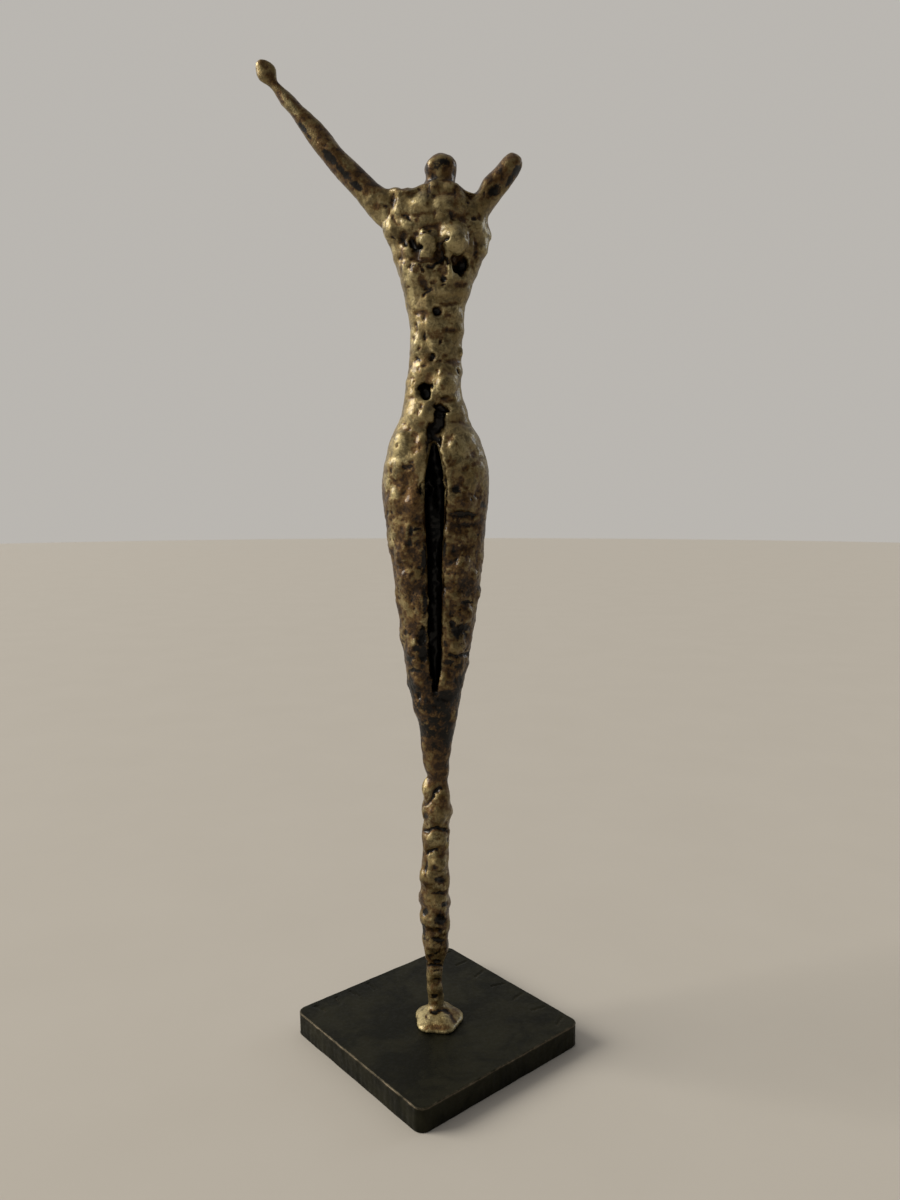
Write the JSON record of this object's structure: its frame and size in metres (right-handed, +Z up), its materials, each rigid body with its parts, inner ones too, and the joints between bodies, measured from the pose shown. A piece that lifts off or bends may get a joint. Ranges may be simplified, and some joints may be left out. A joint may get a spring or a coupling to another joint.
{
  "type": "standing brass figure on a steel plate",
  "caption": "Slender standing nude figure of brazed brass with raised arms, a plain knob for a head and legs merged to one foot, fixed to a square steel base plate.",
  "frame": {"origin": "centre of the base plate's underside, where the part stands", "axes": "+Z up along the figure, -Y the way the figure's chest faces, +X towards the figure's short arm; the square plate is turned 40.5 degrees about Z"},
  "size_m": [0.1032, 0.0958, 0.3213],
  "materials": {
    "brazed_brass": "lacquered brazing brass with olive, brown and black patina in the hollows",
    "blackened_steel": "blackened hot-rolled steel with mill scale, lacquered, worn bright along one edge"
  },
  "bodies": {
    "root": {"figure": "brazed_brass", "base_plate": "blackened_steel"}
  },
  "joints": []
}
